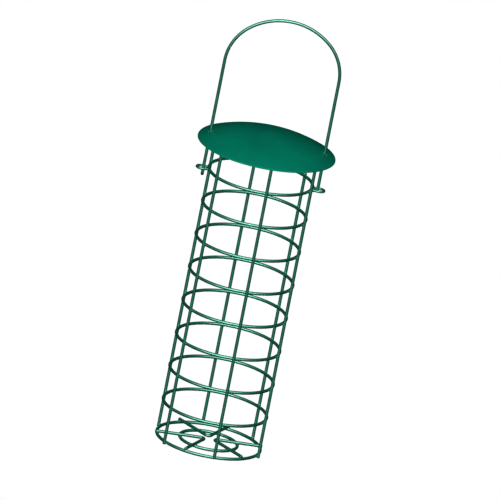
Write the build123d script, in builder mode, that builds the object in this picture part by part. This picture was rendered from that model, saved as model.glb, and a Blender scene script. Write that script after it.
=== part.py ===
from build123d import *
import os
from math import acos, atan2, cos, hypot, radians, sin, sqrt

# Hanging bird feeder for fat balls: a welded wire cage, a loose domed lid and a wire bail.
# Millimetres and degrees. Origin at the centre of the base, +Z up. The bail's two legs stand
# on the X axis, and angles about the cage's axis run from +X towards +Y.

# ---- cage ----
WIRE_D = 2.5                    # every wire of the object, apart from the eyes
WELD_SINK = 0.2                 # how far two crossing wires are pressed into each other at a weld
END_BREAK = 0.3                 # broken edge at a cut wire end
HOOP_COUNT = 9
HOOP_R = 42.0                   # centre line of a hoop
HOOP_PITCH = 28.125
UPRIGHT_COUNT = 6
UPRIGHT_TURN = -20.7            # angle of the first upright
SHORT_UPRIGHT = 6               # this one is cut short and ends beside the lowest hoop
SHORT_CUT = 1.9

# ---- floor ----
FLOOR_RING_R = 23.4             # centre line
VEE_COUNT = 3
VEE_TURN = 99.3                 # direction in which the first V opens
VEE_APEX_R = 5.65               # centre line of the bend, from the cage's axis
VEE_BEND_R = 2.55               # centre line of the bend
VEE_END_R = 43.3                # cut ends, level with the outside of the lowest hoop
VEE_HALF_SPREAD = 28.0          # half the angle between a V's two ends, seen from the axis

# ---- eyes: rounded loops of thinner wire, open towards the top hoop and welded to its outside ----
EYE_WIRE_D = 2.0
EYE_X = 47.35                   # centre of the round part
EYE_R = 4.4                     # centre line of the round part
EYE_INNER_X = 42.3              # the two cut ends, against the hoop
EYE_END_Y = 2.75
EYE_DROP = 1.6                  # the eyes lie this far below the top hoop

# ---- bail ----
LEG_X = 46.4                    # centre line of the legs
FOOT_BEND_R = 2.5
LEFT_FOOT_Z = -7.75             # from the top hoop's centre line; this foot turns to +Y
LEFT_FOOT_REACH = 6.6
RIGHT_FOOT_GAP = 0.3            # this foot turns inwards and hooks under the top hoop
RIGHT_FOOT_REACH = 5.8
ARCH_ABOVE_HOOP = 89.9          # where the legs end and the arch starts
ARCH_RISE = 41.9                # from there to the crown's centre line
ARCH_CORNER_R = 39.3

# ---- lid ----
LID_R = 55.9
LID_ABOVE_HOOP = 24.1           # lowest edge, above the top hoop's centre line
LID_HEIGHT = 14.0               # from the lowest edge to the crown
LID_EDGE_R = 1.2                # outside radius where the dome turns down at its edge
LID_LIP = 0.3                   # straight part below that turn
LID_SHEET = 0.8
LID_HOLE_R = 2.0
LID_REST_GAP = 0.3              # between the uprights' ends and the lid

# ---- worked out from the above ----
WIRE_R = WIRE_D / 2
TOP_HOOP_Z = WIRE_R + (HOOP_COUNT - 1) * HOOP_PITCH
UPRIGHT_R = HOOP_R + WIRE_D - WELD_SINK
VEE_Z = WIRE_R + WIRE_D - WELD_SINK
LID_EDGE_Z = TOP_HOOP_Z + LID_ABOVE_HOOP

# The dome is tangent to the turn of its edge, whose centre is (turn_x, turn_z).
TURN_X = LID_R - LID_EDGE_R
TURN_Z = LID_EDGE_Z + LID_LIP
DOME_RISE = LID_HEIGHT - LID_LIP
DOME_R = (TURN_X**2 + DOME_RISE**2 - LID_EDGE_R**2) / (2 * (DOME_RISE - LID_EDGE_R))
DOME_CENTRE_Z = LID_EDGE_Z + LID_HEIGHT - DOME_R


def dome_z(radius, depth=0.0):
    """Height of the dome, or of the surface that deep inside it, at a distance from the axis."""
    return DOME_CENTRE_Z + sqrt((DOME_R - depth)**2 - radius**2)


UPRIGHT_TOP_Z = dome_z(UPRIGHT_R + WIRE_R, LID_SHEET) - LID_REST_GAP


def around(radius, angle, z=0.0):
    """A point at this radius and angle about the cage's axis."""
    return Vector(radius * cos(radians(angle)), radius * sin(radians(angle)), z)


def finish(name, piece):
    """Label a finished piece and write it."""
    piece.part.label = name
    export_step(piece.part, f"parts/{name}.step")


def make_ring(name, radius, z):
    """A closed ring of wire about the cage's axis, its ends butt welded."""
    with BuildPart() as ring:
        with BuildSketch(Plane.XZ):
            with Locations((radius, z)):
                Circle(WIRE_R)
        revolve(axis=Axis.Z)
    finish(name, ring)


def make_wire(name, path, diameter=WIRE_D):
    """A cut length of wire along a path, with the edges of its two ends broken."""
    with BuildPart() as wire:
        with BuildSketch(Plane(origin=path @ 0, z_dir=path % 0)):
            Circle(diameter / 2)
        sweep(path=path)
        ends = [wire.faces().sort_by_distance(path @ t)[0] for t in (0, 1)]
        chamfer([edge for face in ends for edge in face.edges()], END_BREAK)
    finish(name, wire)


def upright_path(angle, foot_z):
    """Straight down the outside of the hoops, from just under the lid."""
    with BuildLine() as path:
        Line(around(UPRIGHT_R, angle, UPRIGHT_TOP_Z), around(UPRIGHT_R, angle, foot_z))
    return path.wire()


def tangent_point(end, centre, radius):
    """Where a line from end touches a circle whose centre lies on the X axis; x and y of the point.

    Of the two such points it is the one farther from the X axis, on the same side as end."""
    along, aside = end[0] - centre, end[1]
    swing = acos(radius / hypot(along, aside))
    toward = atan2(aside, along)
    angle = toward + swing if along > 0 else toward - swing
    return (centre + radius * cos(angle), radius * sin(angle))


def vee_path(direction):
    """From one end on the lowest hoop, round the bend near the axis, and back out to the hoop."""
    end_x = VEE_END_R * cos(radians(VEE_HALF_SPREAD))
    end_y = VEE_END_R * sin(radians(VEE_HALF_SPREAD))
    touch_x, touch_y = tangent_point((end_x, end_y), VEE_APEX_R + VEE_BEND_R, VEE_BEND_R)
    flat = Plane.XY.offset(VEE_Z).rotated((0, 0, direction))
    with BuildLine(flat) as path:
        Line((end_x, end_y), (touch_x, touch_y))
        ThreePointArc((touch_x, touch_y), (VEE_APEX_R, 0), (touch_x, -touch_y))
        Line((touch_x, -touch_y), (end_x, -end_y))
    return path.wire()


def eye_path(side):
    """Out from the hoop, round the loop, and back to the hoop, lying flat."""
    z = TOP_HOOP_Z - EYE_DROP
    touch_x, touch_y = tangent_point((EYE_INNER_X, EYE_END_Y), EYE_X, EYE_R)
    with BuildLine() as path:
        Line((side * EYE_INNER_X, EYE_END_Y, z), (side * touch_x, touch_y, z))
        ThreePointArc(
            (side * touch_x, touch_y, z),
            (side * (EYE_X + EYE_R), 0, z),
            (side * touch_x, -touch_y, z),
        )
        Line((side * touch_x, -touch_y, z), (side * EYE_INNER_X, -EYE_END_Y, z))
    return path.wire()


def bail_path():
    """Left foot, left leg, an arch of three tangent arcs, right leg, right foot."""
    left_z = TOP_HOOP_Z + LEFT_FOOT_Z
    right_z = TOP_HOOP_Z - WIRE_D - RIGHT_FOOT_GAP
    arch_z = TOP_HOOP_Z + ARCH_ABOVE_HOOP
    crown_z = arch_z + ARCH_RISE
    # The flatter crown arc touches both corner arcs from outside.
    corner_x = LEG_X - ARCH_CORNER_R
    crown_r = (ARCH_RISE**2 + corner_x**2 - ARCH_CORNER_R**2) / (2 * (ARCH_RISE - ARCH_CORNER_R))
    crown_centre_z = crown_z - crown_r
    scale = crown_r / hypot(corner_x, arch_z - crown_centre_z)
    join_x = corner_x * scale
    join_z = crown_centre_z + (arch_z - crown_centre_z) * scale
    bulge = FOOT_BEND_R * (1 - cos(radians(45)))
    with BuildLine() as path:
        Line((-LEG_X, LEFT_FOOT_REACH, left_z), (-LEG_X, FOOT_BEND_R, left_z))
        ThreePointArc(
            (-LEG_X, FOOT_BEND_R, left_z),
            (-LEG_X, bulge, left_z + bulge),
            (-LEG_X, 0, left_z + FOOT_BEND_R),
        )
        Line((-LEG_X, 0, left_z + FOOT_BEND_R), (-LEG_X, 0, arch_z))
        TangentArc((-LEG_X, 0, arch_z), (-join_x, 0, join_z), tangent=(0, 0, 1))
        ThreePointArc((-join_x, 0, join_z), (0, 0, crown_z), (join_x, 0, join_z))
        TangentArc((LEG_X, 0, arch_z), (join_x, 0, join_z), tangent=(0, 0, 1))
        Line((LEG_X, 0, arch_z), (LEG_X, 0, right_z + FOOT_BEND_R))
        ThreePointArc(
            (LEG_X, 0, right_z + FOOT_BEND_R),
            (LEG_X - bulge, 0, right_z + bulge),
            (LEG_X - FOOT_BEND_R, 0, right_z),
        )
        Line((LEG_X - FOOT_BEND_R, 0, right_z), (LEG_X - RIGHT_FOOT_REACH, 0, right_z))
    return path.wire()


def make_lid():
    """A dome pressed from sheet, turned down at its edge, with two holes for the bail's legs."""
    inner_r = LID_R - LID_SHEET
    # Where the dome meets the turn of its edge, seen from the dome's centre.
    lean = atan2(TURN_X, TURN_Z - DOME_CENTRE_Z)
    middle = lean / 2
    turned = (radians(90) + lean) / 2

    def dome_point(angle, depth=0.0):
        return ((DOME_R - depth) * sin(angle), DOME_CENTRE_Z + (DOME_R - depth) * cos(angle))

    def turn_point(angle, depth=0.0):
        radius = LID_EDGE_R - depth
        return (TURN_X + radius * sin(angle), TURN_Z + radius * cos(angle))

    with BuildPart() as lid:
        with BuildSketch(Plane.XZ):
            with BuildLine():
                ThreePointArc(dome_point(0), dome_point(middle), dome_point(lean))
                ThreePointArc(dome_point(lean), turn_point(turned), (LID_R, TURN_Z))
                Polyline((LID_R, TURN_Z), (LID_R, LID_EDGE_Z), (inner_r, LID_EDGE_Z), (inner_r, TURN_Z))
                ThreePointArc(
                    (inner_r, TURN_Z),
                    turn_point(turned, LID_SHEET),
                    dome_point(lean, LID_SHEET),
                )
                ThreePointArc(
                    dome_point(lean, LID_SHEET),
                    dome_point(middle, LID_SHEET),
                    dome_point(0, LID_SHEET),
                )
                Line(dome_point(0, LID_SHEET), dome_point(0))
            make_face()
        revolve(axis=Axis.Z)
        with Locations((-LEG_X, 0, dome_z(LEG_X)), (LEG_X, 0, dome_z(LEG_X))):
            Hole(LID_HOLE_R, depth=LID_HEIGHT / 2)
    finish("lid", lid)


os.makedirs("parts", exist_ok=True)

for index in range(HOOP_COUNT):
    make_ring(f"hoop_{index + 1}", HOOP_R, TOP_HOOP_Z - index * HOOP_PITCH)
make_ring("floor_ring", FLOOR_RING_R, WIRE_R)

for number in range(1, UPRIGHT_COUNT + 1):
    turn = UPRIGHT_TURN + (number - 1) * 360 / UPRIGHT_COUNT
    make_wire(f"upright_{number}", upright_path(turn, SHORT_CUT if number == SHORT_UPRIGHT else 0))
for index in range(VEE_COUNT):
    make_wire(f"floor_vee_{index + 1}", vee_path(VEE_TURN + index * 360 / VEE_COUNT))

make_wire("left_eye", eye_path(-1), EYE_WIRE_D)
make_wire("right_eye", eye_path(1), EYE_WIRE_D)
make_wire("bail", bail_path())
make_lid()
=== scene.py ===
"""Looks of the hanging bird feeder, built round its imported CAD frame. Metres, in the frame's axes."""
from math import acos, atan2, cos, hypot, pi, radians, sin

import bpy
import numpy as np
from mathutils import Matrix, Vector


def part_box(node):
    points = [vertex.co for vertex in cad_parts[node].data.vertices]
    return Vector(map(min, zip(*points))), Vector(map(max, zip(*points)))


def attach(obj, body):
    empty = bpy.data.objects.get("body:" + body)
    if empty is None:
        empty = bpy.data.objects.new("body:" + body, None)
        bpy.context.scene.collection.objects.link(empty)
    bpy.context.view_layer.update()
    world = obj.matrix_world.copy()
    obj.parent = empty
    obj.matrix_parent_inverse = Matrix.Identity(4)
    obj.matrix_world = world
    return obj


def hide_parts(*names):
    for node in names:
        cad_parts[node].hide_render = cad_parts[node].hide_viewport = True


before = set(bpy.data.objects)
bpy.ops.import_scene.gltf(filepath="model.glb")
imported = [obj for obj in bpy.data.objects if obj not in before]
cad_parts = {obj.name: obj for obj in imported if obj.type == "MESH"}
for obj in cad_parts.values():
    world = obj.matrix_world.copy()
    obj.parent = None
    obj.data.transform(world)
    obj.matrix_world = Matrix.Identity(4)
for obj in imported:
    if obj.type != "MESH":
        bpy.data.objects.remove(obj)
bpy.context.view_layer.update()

MM = 0.001
draw = np.random.default_rng(7)

# ---- sizes read from the frame ----
hoops = [f"hoop_{n}" for n in range(1, 10)]
uprights = [f"upright_{n}" for n in range(1, 7)]
vees = [f"floor_vee_{n}" for n in range(1, 4)]
eyes = ["left_eye", "right_eye"]
top_low, top_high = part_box("hoop_1")
WIRE_R = (top_high.z - top_low.z) / 2
eye_low, eye_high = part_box("right_eye")
EYE_WIRE_R = (eye_high.z - eye_low.z) / 2
EYE_R = eye_high.y - EYE_WIRE_R
bail_low, bail_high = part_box("bail")
LEG_X = bail_high.x - WIRE_R
lid_low, lid_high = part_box("lid")
LID_R = lid_high.x

# ---- sizes that a node's box doesn't give ----
VEE_TURN = 99.3                 # direction in which the first V opens, in degrees
VEE_APEX_R = 5.65 * MM
VEE_BEND_R = 2.55 * MM
VEE_END_R = 43.3 * MM
VEE_HALF_SPREAD = 28.0          # degrees
EYE_INNER_X = 42.3 * MM
EYE_END_Y = 2.75 * MM
FOOT_BEND_R = 2.5 * MM
RIGHT_FOOT_GAP = 0.3 * MM
RIGHT_FOOT_REACH = 5.8 * MM
ARCH_RISE = 41.9 * MM
ARCH_CORNER_R = 39.3 * MM
LID_EDGE_R = 1.2 * MM
LID_LIP = 0.3 * MM
LID_SHEET = 0.8 * MM
LID_HOLE_R = 2.0 * MM

# ---- wire meshes ----
SIDES = 24                      # corners of a wire's round section
FINE_STEP = 0.05 * MM           # spacing of a route's points
LONGEST_STEP = 5 * MM           # spacing of a wire's sections along a straight run
BEND_STEP = radians(4)          # most that a wire turns between two sections
END_ROUND = 0.4 * MM            # the coat rounds a cut end
END_RINGS = 4
END_RISE = 0.02 * MM            # the middle of a cut end stands this proud

# Welds.
TOUCH_GAP = 0.5 * MM            # wires this near to each other are welded
SEARCH_EVERY = 8                # points of a route, in the search for welds
SEARCH_BREAK = 3                # searched points that part two welds
WELD_SIZES = 1.0 * MM, 1.5 * MM
WELD_PROUD = 0.25               # height of a weld's fill, as a share of its size
WELD_FIELD = 4 * MM             # a weld fills nothing further from its middle
WELD_REACH = 2.6 * MM           # sections are close together this near to a weld
WELD_STEP = 0.3 * MM
SEAM_PLACE = 70, 6              # a ring's butt weld: its mean angle from +X and the scatter, in degrees
SEAM_SWELL = 0.09 * MM
SEAM_WIDTH = 0.55 * MM

# Where the coat is rubbed, from 0 to 1, and how far from the middle that reaches.
CUT_RUB, CUT_RUB_REACH = 0.6, 1.2 * MM
CROWN_RUB, CROWN_RUB_REACH = 0.7, (14 * MM, 5 * MM, 1.2 * MM)
LEG_RUB_ASIDE = 5 * MM
EYE_RUB, EYE_RUB_REACH = 0.3, 4 * MM
LID_RUB, LID_RUB_REACH, LID_RUB_RISE = 0.3, 4 * MM, 5 * MM
SLIDE_RUB, SLIDE_RUB_REACH, SLIDE_RUB_RISE = 0.2, 30 * MM, 30 * MM


def turned(point, centre, axis, angles):
    """The point turned by each of the angles about the axis through the centre."""
    arm = point - centre
    c, s = np.cos(angles)[:, None], np.sin(angles)[:, None]
    along = axis * (axis @ arm)
    return centre + along + (arm - along) * c + np.cross(axis, arm) * s


class Route:
    """The centre line of a bent wire: straight runs and arcs, kept as closely spaced points."""

    def __init__(self, *start, radius=WIRE_R):
        self.points = np.array([start], float)
        self.radius = radius
        self.closed = False

    def run(self, *end):
        start, end = self.points[-1], np.array(end, float)
        count = max(1, int(np.linalg.norm(end - start) / FINE_STEP))
        share = np.linspace(0, 1, count + 1)[1:, None]
        self.points = np.vstack([self.points, start + (end - start) * share])
        return self

    def arc(self, centre, axis, angle):
        centre, axis = np.array(centre, float), np.array(axis, float)
        radius = np.linalg.norm(self.points[-1] - centre)
        count = max(1, int(radius * abs(angle) / FINE_STEP))
        angles = np.linspace(0, angle, count + 1)[1:]
        self.points = np.vstack([self.points, turned(self.points[-1], centre, axis, angles)])
        return self

    def close(self):
        self.points = self.points[:-1]
        self.closed = True
        return self

    def measure(self):
        """Works out the direction and the length along the route at each point."""
        p = self.points
        if self.closed:
            ahead, behind = np.roll(p, -1, 0), np.roll(p, 1, 0)
        else:
            ahead, behind = np.vstack([p[1:], p[-1]]), np.vstack([p[0], p[:-1]])
        way = ahead - behind
        self.tangents = way / np.linalg.norm(way, axis=1)[:, None]
        step = np.linalg.norm(np.diff(p, axis=0), axis=1)
        self.length_at = np.concatenate([[0], np.cumsum(step)])
        self.length = self.length_at[-1]
        if self.closed:
            self.length += np.linalg.norm(p[0] - p[-1])
        return self

    def at(self, lengths):
        """The points and the unit directions at these lengths along the route."""
        known, points, ways = self.length_at, self.points, self.tangents
        if self.closed:
            known = np.append(known, self.length)
            points, ways = np.vstack([points, points[0]]), np.vstack([ways, ways[0]])
        centre = np.column_stack([np.interp(lengths, known, points[:, k]) for k in range(3)])
        way = np.column_stack([np.interp(lengths, known, ways[:, k]) for k in range(3)])
        return centre, way / np.linalg.norm(way, axis=1)[:, None]


def ring_route(node):
    """A closed ring about the cage's axis."""
    low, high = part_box(node)
    radius, z = high.x - WIRE_R, (low.z + high.z) / 2
    return Route(radius, 0, z).arc((0, 0, z), (0, 0, 1), 2 * pi).close()


def upright_route(node):
    low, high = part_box(node)
    x, y = (low.x + high.x) / 2, (low.y + high.y) / 2
    return Route(x, y, high.z).run(x, y, low.z)


def tangent_point(end, centre, radius):
    """Where a line from end touches a circle whose centre lies on the X axis, on end's side of it."""
    along, aside = end[0] - centre, end[1]
    swing = acos(radius / hypot(along, aside))
    toward = atan2(aside, along)
    angle = toward + swing if along > 0 else toward - swing
    return centre + radius * cos(angle), radius * sin(angle), angle


def vee_route(node, direction):
    """From one end on the lowest hoop, round the bend near the axis, and back out."""
    low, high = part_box(node)
    z = (low.z + high.z) / 2
    half = radians(VEE_HALF_SPREAD)
    bend_x = VEE_APEX_R + VEE_BEND_R
    end_x, end_y = VEE_END_R * cos(half), VEE_END_R * sin(half)
    x, y, angle = tangent_point((end_x, end_y), bend_x, VEE_BEND_R)
    route = Route(end_x, end_y, z).run(x, y, z)
    route.arc((bend_x, 0, z), (0, 0, 1), 2 * (pi - angle))
    route.run(end_x, -end_y, z)
    c, s = cos(radians(direction)), sin(radians(direction))
    route.points = route.points @ np.array([[c, s, 0], [-s, c, 0], [0, 0, 1]])
    return route


def eye_route(node):
    """Out from the top hoop, round the loop, and back, lying flat."""
    low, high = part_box(node)
    side = 1 if high.x > 0 else -1
    z = (low.z + high.z) / 2
    centre = max(high.x, -low.x) - EYE_WIRE_R - EYE_R
    x, y, angle = tangent_point((EYE_INNER_X, EYE_END_Y), centre, EYE_R)
    route = Route(side * EYE_INNER_X, EYE_END_Y, z, radius=EYE_WIRE_R).run(side * x, y, z)
    route.arc((side * centre, 0, z), (0, 0, 1), -side * 2 * angle)
    return route.run(side * EYE_INNER_X, -EYE_END_Y, z)


def bail_route():
    """Left foot, left leg, an arch of three tangent arcs, right leg, right foot."""
    left_z, right_z = bail_low.z + WIRE_R, top_low.z - RIGHT_FOOT_GAP - WIRE_R
    crown_z = bail_high.z - WIRE_R
    arch_z = crown_z - ARCH_RISE
    corner_x = LEG_X - ARCH_CORNER_R
    crown_r = (ARCH_RISE**2 + corner_x**2 - ARCH_CORNER_R**2) / (2 * (ARCH_RISE - ARCH_CORNER_R))
    crown_centre = (0, 0, crown_z - crown_r)
    corner_turn = atan2(arch_z - crown_centre[2], corner_x)
    r = FOOT_BEND_R
    route = Route(-LEG_X, bail_high.y, left_z).run(-LEG_X, r, left_z)
    route.arc((-LEG_X, r, left_z + r), (1, 0, 0), -pi / 2)
    route.run(-LEG_X, 0, arch_z)
    route.arc((-corner_x, 0, arch_z), (0, 1, 0), corner_turn)
    route.arc(crown_centre, (0, 1, 0), pi - 2 * corner_turn)
    route.arc((corner_x, 0, arch_z), (0, 1, 0), corner_turn)
    route.run(LEG_X, 0, right_z + r)
    route.arc((LEG_X - r, 0, right_z + r), (0, 1, 0), pi / 2)
    return route.run(LEG_X - RIGHT_FOOT_REACH, 0, right_z)


def touches(one, other):
    """Where two routes' wires meet: for each place, the index of the nearest point on each route."""
    a, b = one.points[::SEARCH_EVERY], other.points[::SEARCH_EVERY]
    gaps = np.linalg.norm(a[:, None] - b[None], axis=2)
    nearest = gaps.min(1)
    close = np.flatnonzero(nearest < one.radius + other.radius + TOUCH_GAP)
    if not len(close):
        return []
    groups = np.split(close, np.flatnonzero(np.diff(close) > SEARCH_BREAK) + 1)
    if one.closed and len(groups) > 1 and groups[0][0] == 0 and groups[-1][-1] == len(a) - 1:
        groups = [np.concatenate([groups[-1], groups[0]]), *groups[1:-1]]
    found = []
    for group in groups:
        i = group[np.argmin(nearest[group])]
        found.append((i * SEARCH_EVERY, int(np.argmin(gaps[i])) * SEARCH_EVERY))
    return found


def stations(route, marks):
    """Lengths along the route at which a wire gets a section: closer in bends and near the marks."""
    p, t, length = route.points, route.tangents, route.length_at
    turn = np.arccos(np.clip((t[1:] * t[:-1]).sum(1), -1, 1)) / np.diff(length)
    need = np.maximum(1 / LONGEST_STEP, np.append(turn, turn[-1]) / BEND_STEP)
    for i in marks:
        near = np.linalg.norm(p - p[i], axis=1) < WELD_REACH
        need = np.where(near, np.maximum(need, 1 / WELD_STEP), need)
    ends = np.append(length, route.length)
    total = np.concatenate([[0], np.cumsum(need * np.diff(ends))])
    first, last = (0, route.length) if route.closed else (END_ROUND, route.length - END_ROUND)
    low, high = np.interp([first, last], ends, total)
    count = int(np.ceil(high - low))
    at = np.interp(np.linspace(low, high, count + 1), total, ends)
    return at[:-1] if route.closed else at


def with_rounded_ends(route, at, radii):
    """The sections, with smaller ones added towards both cut ends."""
    angles = np.linspace(0, pi / 2, END_RINGS + 1)[1:]
    inset = END_ROUND * np.sin(angles)
    shrunk = route.radius - END_ROUND * (1 - np.cos(angles))
    at = np.concatenate([(END_ROUND - inset)[::-1], at, route.length - END_ROUND + inset])
    return at, np.concatenate([shrunk[::-1], radii, shrunk])


def section_normals(way):
    """The outward direction at each corner of each section; way is the wire's direction there."""
    starts_level = abs(way[0][2]) < 0.9
    side = np.cross(way[0], (0, 0, 1.0) if starts_level else (1.0, 0, 0))
    sides = []
    for w in way:
        side = side - w * (side @ w)
        side = side / np.linalg.norm(side)
        sides.append(side)
    sides = np.array(sides)
    ups = np.cross(way, sides)
    angles = np.arange(SIDES) * 2 * pi / SIDES
    return (sides[:, None] * np.cos(angles)[None, :, None]
            + ups[:, None] * np.sin(angles)[None, :, None])


def wire_rub(places, cut_ends, rubbed):
    """How worn the coat is at each place. A rubbed spot is (middle, reach along x, y and z, amount)."""
    rub = np.zeros(len(places))
    for end in cut_ends:
        away = np.linalg.norm(places - end, axis=1)
        rub = np.maximum(rub, CUT_RUB * np.exp(-(away / CUT_RUB_REACH)**4))
    for middle, reach, amount in rubbed:
        away = np.linalg.norm((places - middle) / reach, axis=1)
        rub = np.maximum(rub, amount * np.exp(-away**2))
    return rub


def wire_mesh(name, route, welds, seam, rubbed):
    """A round wire along the route, with its welds, its seam or cut ends, and its rubbed spots.

    A weld is (own index, partner's point, direction and radius, size). seam is the index of a ring's
    butt weld, and None on a wire with ends."""
    marks = [w[0] for w in welds] + ([seam] if route.closed else [])
    at = stations(route, marks)
    radii = np.full(len(at), route.radius)
    if not route.closed:
        at, radii = with_rounded_ends(route, at, radii)
    centre, way = route.at(at)
    if route.closed:
        gap = np.linalg.norm(centre - route.points[seam], axis=1)
        radii = radii + SEAM_SWELL * np.exp(-(gap / SEAM_WIDTH)**2)
    normals = section_normals(way)
    spots = centre[:, None] + normals * radii[:, None, None]
    for own, point, direction, radius, size in welds:
        # The coat and the squeezed metal fill the corner between two crossing wires.
        arm = spots - point
        gap = np.linalg.norm(arm - (arm @ direction)[..., None] * direction, axis=2) - radius
        near = np.linalg.norm(spots - route.points[own], axis=2) < WELD_FIELD
        share = np.clip(1 - np.maximum(gap, 0) / size, 0, 1) * near
        spots = spots + normals * (share**2 * size * WELD_PROUD)[..., None]
    rings = len(at)
    verts = spots.reshape(-1, 3).tolist()
    faces = []
    for i in range(rings if route.closed else rings - 1):
        j = (i + 1) % rings
        for k in range(SIDES):
            n = (k + 1) % SIDES
            faces.append((i * SIDES + k, i * SIDES + n, j * SIDES + n, j * SIDES + k))
    cut_ends = [] if route.closed else [(0, -1), (rings - 1, 1)]
    for ring, out in cut_ends:
        tip = len(verts)
        verts.append((centre[ring] + way[ring] * END_RISE * out).tolist())
        for k in range(SIDES):
            a, b = ring * SIDES + k, ring * SIDES + (k + 1) % SIDES
            faces.append((b, a, tip) if out < 0 else (a, b, tip))
    rub = wire_rub(np.array(verts), [centre[ring] for ring, _ in cut_ends], rubbed)
    return make_piece(name, verts, faces, rub)


def make_piece(name, verts, faces, rub=None, normals=None):
    """A smooth piece. rub says how worn its coat is at each vertex, from 0 to 1."""
    mesh = bpy.data.meshes.new(name)
    mesh.from_pydata(verts, [], faces)
    mesh.polygons.foreach_set("use_smooth", [True] * len(mesh.polygons))
    if rub is not None:
        mesh.attributes.new("rub", "FLOAT", "POINT").data.foreach_set("value", rub)
    if normals is not None:
        mesh.normals_split_custom_set_from_vertices(normals)
    piece = bpy.data.objects.new(name, mesh)
    bpy.context.scene.collection.objects.link(piece)
    return piece


# ---- materials ----
ROUGHNESS, ROUGHNESS_SPREAD = 0.45, 0.03
CLOUD_TINT = 0.07               # the coat's colour varies by this share either way
WORN_GLOSS = 0.75               # roughness of a rubbed spot, as a share of the fresh coat's
WORN_COLOUR = 1.5, 0.02         # its colour is the fresh coat's times the first, plus the second
WORN_PATCHES = 0.35             # the least worn patch of a rubbed spot, as a share of the most worn
PEEL_DEPTH = 0.03 * MM
PEEL_STRENGTH = 0.5
NOISE_SPAN = 0.3, 0.7           # nearly all of a noise's own values lie between these
CLOUD_SCALE, GLOSS_SCALE, WEAR_SCALE, PEEL_SCALE = 45, 160, 700, 900    # features to the metre

# Linear colours. The wires' coat is darker and shinier than the lid's, with greener highlights.
WIRE_GREEN, WIRE_IOR, WIRE_HIGHLIGHT = (0.0007, 0.070, 0.046), 2.6, (0.55, 1.0, 0.84)
LID_GREEN, LID_IOR, LID_HIGHLIGHT = (0.0014, 0.133, 0.093), 1.12, (1.0, 1.0, 1.0)


def powder_coat(name, colour, ior, highlight):
    """Satin powder coat: a little cloudy, with an orange-peel surface, uneven gloss and rubbed spots."""
    material = bpy.data.materials.new(name)
    material.use_nodes = True
    tree = material.node_tree
    nodes, link = tree.nodes, tree.links.new
    shader = nodes["Principled BSDF"]
    shader.inputs["IOR"].default_value = ior
    shader.inputs["Specular Tint"].default_value = (*highlight, 1)
    place = nodes.new("ShaderNodeTexCoord").outputs["Object"]

    def feed(socket, value):
        """Gives a socket a value, or joins another socket to it."""
        if isinstance(value, bpy.types.NodeSocket):
            link(value, socket)
        else:
            socket.default_value = value

    def noise(scale, detail, low, high):
        """Noise of this many features to the metre, spread between two values."""
        node = nodes.new("ShaderNodeTexNoise")
        node.inputs["Scale"].default_value = scale
        node.inputs["Detail"].default_value = detail
        link(place, node.inputs["Vector"])
        reach = nodes.new("ShaderNodeMapRange")
        reach.inputs["From Min"].default_value, reach.inputs["From Max"].default_value = NOISE_SPAN
        reach.inputs["To Min"].default_value = low
        reach.inputs["To Max"].default_value = high
        link(node.outputs["Fac"], reach.inputs["Value"])
        return reach.outputs["Result"]

    def mixed(factor, one, other, kind="RGBA"):
        """one where the factor is 0, other where it is 1; each is a value or a socket."""
        node = nodes.new("ShaderNodeMix")
        node.data_type = kind
        sockets = [socket for socket in node.inputs if socket.enabled]
        for socket, value in zip(sockets, (factor, one, other)):
            feed(socket, value)
        return next(socket for socket in node.outputs if socket.enabled)

    def product(one, other):
        node = nodes.new("ShaderNodeMath")
        node.operation = "MULTIPLY"
        for socket, value in zip(node.inputs, (one, other)):
            feed(socket, value)
        return node.outputs["Value"]

    rub = nodes.new("ShaderNodeAttribute")
    rub.attribute_name = "rub"
    worn = product(rub.outputs["Fac"], noise(WEAR_SCALE, 3, WORN_PATCHES, 1.0))
    dark, pale = ((*[c * (1 + tint) for c in colour], 1) for tint in (-CLOUD_TINT, CLOUD_TINT))
    fresh = mixed(noise(CLOUD_SCALE, 3, 0, 1), dark, pale)
    times, plus = WORN_COLOUR
    polished = (*[c * times + plus for c in colour], 1)
    link(mixed(worn, fresh, polished), shader.inputs["Base Color"])
    gloss = noise(GLOSS_SCALE, 2, ROUGHNESS - ROUGHNESS_SPREAD, ROUGHNESS + ROUGHNESS_SPREAD)
    link(mixed(worn, gloss, ROUGHNESS * WORN_GLOSS, "FLOAT"), shader.inputs["Roughness"])
    bump = nodes.new("ShaderNodeBump")
    bump.inputs["Strength"].default_value = PEEL_STRENGTH
    bump.inputs["Distance"].default_value = PEEL_DEPTH
    link(noise(PEEL_SCALE, 1, *NOISE_SPAN), bump.inputs["Height"])
    link(bump.outputs["Normal"], shader.inputs["Normal"])
    return material


coats = {
    "cage_wire": powder_coat("coat_cage", WIRE_GREEN, WIRE_IOR, WIRE_HIGHLIGHT),
    "bail_wire": powder_coat("coat_bail", WIRE_GREEN, WIRE_IOR, WIRE_HIGHLIGHT),
    "lid_sheet": powder_coat("coat_lid", LID_GREEN, LID_IOR, LID_HIGHLIGHT),
}


def dress(piece, slot, body, node):
    piece.data.materials.append(coats[slot])
    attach(piece, body)
    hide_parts(node)


# ---- wires ----
routes = {node: ring_route(node).measure() for node in hoops + ["floor_ring"]}
routes |= {node: upright_route(node).measure() for node in uprights}
routes |= {node: vee_route(node, VEE_TURN + 120 * n).measure() for n, node in enumerate(vees)}
routes |= {node: eye_route(node).measure() for node in eyes}
routes["bail"] = bail_route().measure()

pairs = [(hoop, upright) for hoop in hoops for upright in uprights]
pairs += [(vee, ring) for vee in vees for ring in ("hoop_9", "floor_ring")]
pairs += [("hoop_1", eye) for eye in eyes]
welds = {node: [] for node in routes}
for one, other in pairs:
    a, b = routes[one], routes[other]
    for i, j in touches(a, b):
        size = draw.uniform(*WELD_SIZES)
        welds[one].append((i, b.points[j], b.tangents[j], b.radius, size))
        welds[other].append((j, a.points[i], a.tangents[i], a.radius, size))


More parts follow.
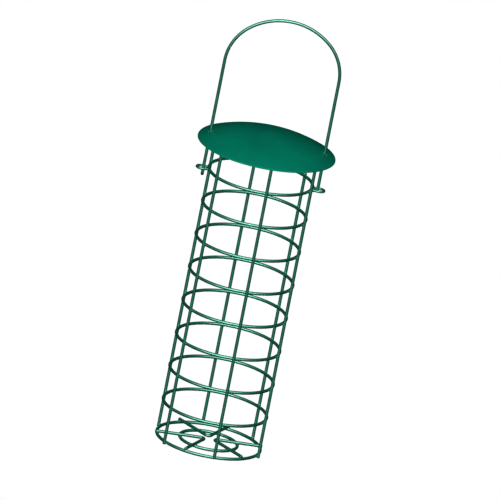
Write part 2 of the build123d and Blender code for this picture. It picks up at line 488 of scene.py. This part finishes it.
def bail_rub():
    """The bail is rubbed under its crown, in the eyes, in the lid's holes and where the lid slides."""
    spots = [((0, 0, bail_high.z - 2 * WIRE_R), CROWN_RUB_REACH, CROWN_RUB)]
    for side, eye in zip((-1, 1), eyes):
        eye_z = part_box(eye)[0].z + EYE_WIRE_R
        for z, reach, amount in ((eye_z, EYE_RUB_REACH, EYE_RUB),
                                 (lid_low.z + LID_RUB_RISE, LID_RUB_REACH, LID_RUB),
                                 (lid_low.z + SLIDE_RUB_RISE, SLIDE_RUB_REACH, SLIDE_RUB)):
            spots.append(((side * LEG_X, 0, z), (LEG_RUB_ASIDE, LEG_RUB_ASIDE, reach), amount))
    return spots


for node, route in routes.items():
    seam = None
    if route.closed:
        middle, scatter = SEAM_PLACE
        seam = int(len(route.points) * (middle + draw.uniform(-scatter, scatter)) / 360)
    rubbed = bail_rub() if node == "bail" else []
    piece = wire_mesh(f"wire_{node}", route, welds[node], seam, rubbed)
    if node == "bail":
        dress(piece, "bail_wire", "bail", node)
    else:
        dress(piece, "cage_wire", "cage", node)


# ---- lid ----
LID_TURNS = 288                 # sections round the lid
INNER_RINGS = 21                # rings of cells from the crown to the squares round the holes
OUTER_RINGS = 4                 # and from those squares to the turned-down edge
EDGE_STEPS = 7                  # steps of the edge's outside turn
ROUND_STEPS = 4                 # steps of each small turn
PATCH = 4                       # half the width, in cells, of the square round a hole
PATCH_SHARES = 1, 0.7, 0.45, 0.25, 0.1, 0    # its loops, from its border in to the hole's rim
HOLE_ROUND = 0.25 * MM          # the coat rounds the edge of a hole
BRIM_ROUND = LID_LIP            # and the cut edge of the sheet
HOLE_RUB, HOLE_RUB_REACH = 0.35, 0.5 * MM
BRIM_RUB, BRIM_RUB_REACH = 0.2, 0.25 * MM
SNAP = 1e7                      # vertices that agree to a ten-millionth of a metre are one
ON_DOME = 1e-6                  # a vertex this near to the dome's surface lies on it

turn_x, turn_z = LID_R - LID_EDGE_R, lid_low.z + LID_LIP
rise = lid_high.z - turn_z
dome_r = (turn_x**2 + rise**2 - LID_EDGE_R**2) / (2 * (rise - LID_EDGE_R))
dome_centre_z = lid_high.z - dome_r


def dome_height(radius, depth=0.0):
    """Height of the dome's outside, or of the surface that deep inside it."""
    return dome_centre_z + np.sqrt((dome_r - depth)**2 - radius**2)


class Sheet:
    """Vertices and faces, where vertices at one place are shared."""

    def __init__(self):
        self.verts, self.faces, self.index = [], [], {}

    def vert(self, x, y, z):
        key = (round(x * SNAP), round(y * SNAP), round(z * SNAP))
        if key not in self.index:
            self.index[key] = len(self.verts)
            self.verts.append((float(x), float(y), float(z)))
        return self.index[key]

    def face(self, corners, flip=False):
        corners = list(dict.fromkeys(self.vert(*c) for c in corners))
        if len(corners) > 2:
            self.faces.append(corners[::-1] if flip else corners)


def edge_profile(lean):
    """The turned-down edge as (radius, z): outside turn, rounded brim, inside turn."""
    profile = [(turn_x + LID_EDGE_R * sin(a), turn_z + LID_EDGE_R * cos(a))
               for a in np.linspace(lean, pi / 2, EDGE_STEPS + 1)]
    low_z = lid_low.z + BRIM_ROUND
    for middle, start in ((LID_R - BRIM_ROUND, 0), (LID_R - LID_SHEET + BRIM_ROUND, pi / 2)):
        for a in np.linspace(start, start + pi / 2, ROUND_STEPS + 1):
            profile.append((middle + BRIM_ROUND * cos(a), low_z - BRIM_ROUND * sin(a)))
    inside_r = LID_EDGE_R - LID_SHEET
    return profile + [(turn_x + inside_r * sin(a), turn_z + inside_r * cos(a))
                      for a in np.linspace(pi / 2, lean, ROUND_STEPS + 1)]


def hole_loops(border, middle):
    """Loops from the square of cells in to a hole's rounded edge, down its wall and out again."""
    ways = border - middle
    ways /= np.linalg.norm(ways, axis=1)[:, None]
    rim = middle + ways * (LID_HOLE_R + HOLE_ROUND)
    steps = [(border * t + rim * (1 - t), 0.0) for t in PATCH_SHARES]
    for a in radians(30), radians(60), radians(90):
        steps.append((rim - ways * HOLE_ROUND * sin(a), HOLE_ROUND * (1 - cos(a))))
    loops = [np.column_stack([spots, dome_height(np.hypot(*spots.T)) - down]) for spots, down in steps]
    return loops + [np.column_stack([spots, dome_height(np.hypot(*spots.T), LID_SHEET) + up])
                    for spots, up in reversed(steps)]


def lid_sheet():
    """The pressed sheet: both sides of the dome, its turned-down edge and the two leg holes."""
    sheet = Sheet()
    step = 2 * pi / LID_TURNS
    spokes = [(cos(k * step), sin(k * step)) for k in range(LID_TURNS)]
    cell = LEG_X * step
    patch_radii = [LEG_X + (k - PATCH) * cell for k in range(2 * PATCH + 1)]
    inner_radii = list(np.linspace(0, patch_radii[0], INNER_RINGS + 1))[:-1]
    lean = atan2(turn_x, turn_z - dome_centre_z)

    def band(near, far, k, flip=False):
        (c0, s0), (c1, s1) = spokes[k], spokes[(k + 1) % LID_TURNS]
        (r0, z0), (r1, z1) = near, far
        sheet.face([(r0 * c0, r0 * s0, z0), (r1 * c0, r1 * s0, z1),
                    (r1 * c1, r1 * s1, z1), (r0 * c1, r0 * s1, z0)], flip)

    for depth in (0.0, LID_SHEET):
        outer_radii = list(np.linspace(patch_radii[-1], (dome_r - depth) * sin(lean), OUTER_RINGS + 1))[1:]
        radii = inner_radii + patch_radii + outer_radii
        rings = [(r, float(dome_height(r, depth))) for r in radii]
        for i, (near, far) in enumerate(zip(rings, rings[1:])):
            for k in range(LID_TURNS):
                in_patch = (abs(sin((k + 0.5) * step)) < PATCH * step
                            and INNER_RINGS <= i < INNER_RINGS + 2 * PATCH)
                if not in_patch:
                    band(near, far, k, flip=depth > 0)

    profile = edge_profile(lean)
    for near, far in zip(profile, profile[1:]):
        for k in range(LID_TURNS):
            band(near, far, k)

    square = [(patch_radii[0], k) for k in range(-PATCH, PATCH)]
    square += [(r, PATCH) for r in patch_radii[:-1]]
    square += [(patch_radii[-1], k) for k in range(PATCH, -PATCH, -1)]
    square += [(r, -PATCH) for r in patch_radii[:0:-1]]
    for side in (0, LID_TURNS // 2):
        border = np.array([(r * spokes[(side + k) % LID_TURNS][0], r * spokes[(side + k) % LID_TURNS][1])
                           for r, k in square])
        loops = hole_loops(border, np.array([LEG_X * spokes[side][0], 0.0]))
        for outer, inner in zip(loops, loops[1:]):
            for m in range(len(square)):
                n = (m + 1) % len(square)
                sheet.face([outer[m], inner[m], inner[n], outer[n]])
    return sheet


def lid_details(verts):
    """How rubbed the coat is at each vertex, and the dome's true normals where it is plain dome."""
    verts = np.array(verts)
    arms = verts - (0, 0, dome_centre_z)
    reach = np.linalg.norm(arms, axis=1)
    outside = np.abs(reach - dome_r) < ON_DOME
    inside = np.abs(reach - (dome_r - LID_SHEET)) < ON_DOME
    normals = arms / reach[:, None] * (outside * 1.0 - inside * 1.0)[:, None]
    radius = np.hypot(verts[:, 0], verts[:, 1])
    from_hole = np.hypot(np.abs(verts[:, 0]) - LEG_X, verts[:, 1]) - LID_HOLE_R
    rub = HOLE_RUB * np.exp(-np.maximum(from_hole, 0) / HOLE_RUB_REACH)
    rub = np.maximum(rub, BRIM_RUB * np.exp(-np.maximum(LID_R - radius, 0) / BRIM_RUB_REACH))
    return rub, normals


sheet = lid_sheet()
lid = make_piece("lid_dome", sheet.verts, sheet.faces, *lid_details(sheet.verts))
dress(lid, "lid_sheet", "lid", "lid")


# ---- floor and backdrop ----
FLOOR_Z = -0.6
FLOOR_HALF = 7.0
WALL_R = 9


def white_glow():
    material = bpy.data.materials.new("white_surroundings")
    material.use_nodes = True
    nodes = material.node_tree.nodes
    nodes.clear()
    shine = nodes.new("ShaderNodeEmission")
    shine.inputs["Color"].default_value = (1, 1, 1, 1)
    shine.inputs["Strength"].default_value = 1.0
    out = nodes.new("ShaderNodeOutputMaterial")
    material.node_tree.links.new(shine.outputs["Emission"], out.inputs["Surface"])
    return material


def backdrop(piece, material):
    """A surface that only the camera sees, so that it doesn't light the object."""
    piece.data.materials.append(material)
    for ray in ("diffuse", "glossy", "transmission", "volume_scatter", "shadow"):
        setattr(piece, f"visible_{ray}", False)


white = white_glow()
floor = make_piece("floor", [(x * FLOOR_HALF, y * FLOOR_HALF, FLOOR_Z)
                             for x, y in ((-1, -1), (1, -1), (1, 1), (-1, 1))], [(0, 1, 2, 3)])
backdrop(floor, white)
bpy.ops.mesh.primitive_uv_sphere_add(segments=64, ring_count=32, radius=WALL_R)
wall = bpy.context.object
wall.name = "wall"
backdrop(wall, white)


# ---- camera ----
CAMERA_ELEVATION = radians(17.49)
CAMERA_ROLL = radians(11.24)    # the object leans to the right in the view
CAMERA_AIM = Vector((0.00289, 0, 0.16432))
CAMERA_FAR = 1.5
CAMERA_WIDTH = 0.3987           # of the parallel view
CAMERA_CLIP = 50
camera_data = bpy.data.cameras.new("camera")
camera_data.type = "ORTHO"
camera_data.ortho_scale = CAMERA_WIDTH
camera_data.clip_end = CAMERA_CLIP
camera = bpy.data.objects.new("camera", camera_data)
bpy.context.scene.collection.objects.link(camera)
back = Vector((0, -cos(CAMERA_ELEVATION), sin(CAMERA_ELEVATION)))
camera.location = CAMERA_AIM + back * CAMERA_FAR
camera.rotation_euler = ((-back).to_track_quat("-Z", "Y").to_matrix()
                         @ Matrix.Rotation(CAMERA_ROLL, 3, "Z")).to_euler()
bpy.context.scene.camera = camera


# ---- light ----
LAMP_SPREAD = radians(20)
GAMMA = 0.7

# A broad soft front light, made of lamps side by side, and fill from behind and below, as from
# a pale floor and wall: (azimuth, elevation, strength, gleams), with the angles in degrees.
LAMPS = [
    (-35, 25, 2.5, True),
    (-4, 45, 1.85, True),
    (-4, 25, 1.45, True),
    (35, 25, 1.2, True),
    (35, 45, 0.9, True),
    (-4, 5, 0.5, True),
    (-4, 75, 0.45, True),
    (180, -25, 1.2, True),
    (180, -20, 5.0, False),
    (180, -60, 2.0, False),
]


def sun(name, azimuth, elevation, strength, gleams):
    """Soft light without shadows. Azimuth 0 is in front, at -Y, and 90 is at +X.

    A lamp that doesn't gleam fills in the dark sides and shows in no reflection."""
    data = bpy.data.lights.new(name, "SUN")
    data.energy = strength
    data.angle = LAMP_SPREAD
    data.use_shadow = False
    lamp = bpy.data.objects.new(name, data)
    lamp.visible_glossy = gleams
    bpy.context.scene.collection.objects.link(lamp)
    a, e = radians(azimuth), radians(elevation)
    towards = Vector((sin(a) * cos(e), -cos(a) * cos(e), sin(e)))
    lamp.rotation_euler = towards.to_track_quat("Z", "Y").to_euler()


for n, lamp in enumerate(LAMPS):
    sun(f"lamp_{n + 1}", *lamp)

world = bpy.data.worlds.new("world")
world.use_nodes = True
world.node_tree.nodes["Background"].inputs["Color"].default_value = (0, 0, 0, 1)
bpy.context.scene.world = world
bpy.context.scene.view_settings.view_transform = "Standard"
bpy.context.scene.view_settings.gamma = GAMMA
